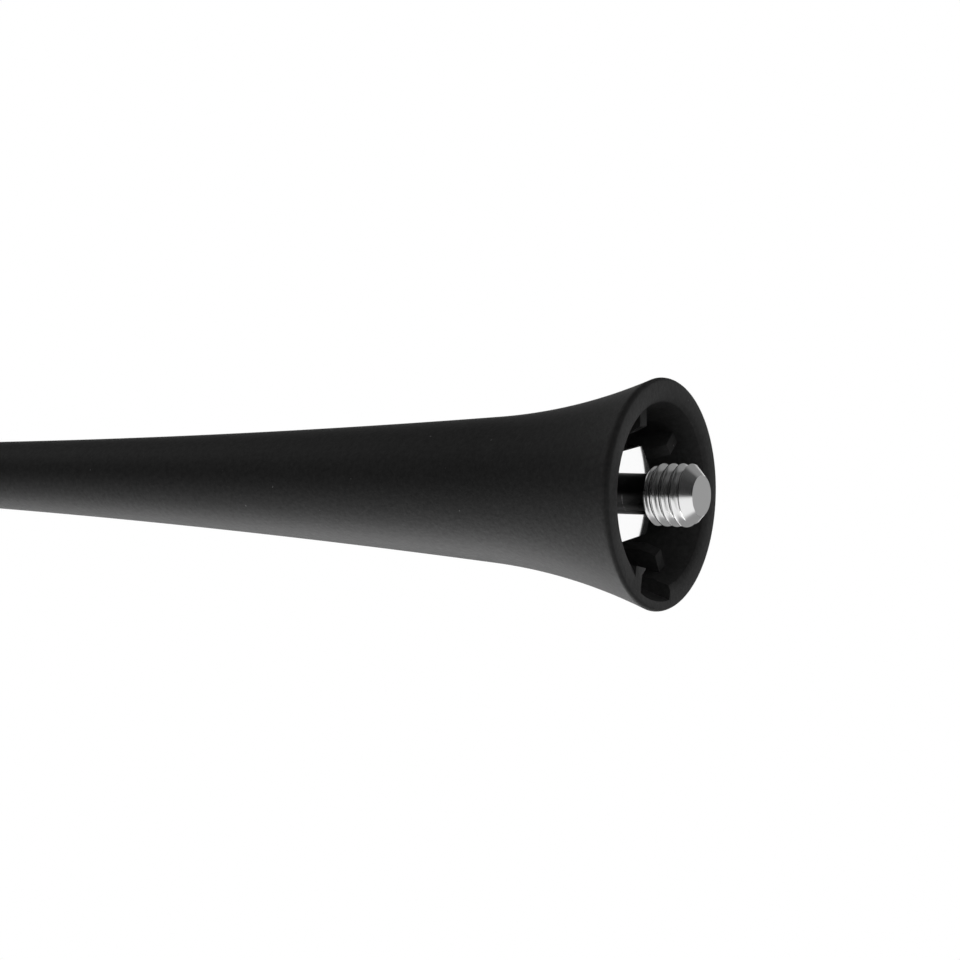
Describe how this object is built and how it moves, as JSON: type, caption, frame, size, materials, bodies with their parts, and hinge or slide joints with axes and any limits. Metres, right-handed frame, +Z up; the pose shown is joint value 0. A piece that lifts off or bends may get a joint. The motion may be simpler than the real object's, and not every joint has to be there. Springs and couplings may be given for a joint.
{
  "type": "car antenna mast",
  "caption": "Screw-in car roof antenna mast: tapered black rubber mast on a trumpet foot, whose ribbed cup holds a metal ferrule with a threaded stud.",
  "frame": {"origin": "centre of the foot's rim plane, on the mast's axis", "axes": "+Z up the mast from the rim to the tip, as it stands on the roof; the notch in the rim lies on -X"},
  "size_m": [0.022, 0.022, 0.2039],
  "materials": {
    "mast_rubber": "matte, finely grained",
    "plated_steel": "bright plated",
    "glass_fibre": "smooth",
    "copper_wire": "enamelled"
  },
  "bodies": {
    "root": {"mast_cover": "mast_rubber", "threaded_ferrule": "plated_steel", "core_rod": "glass_fibre", "aerial_winding": "copper_wire"}
  },
  "joints": []
}
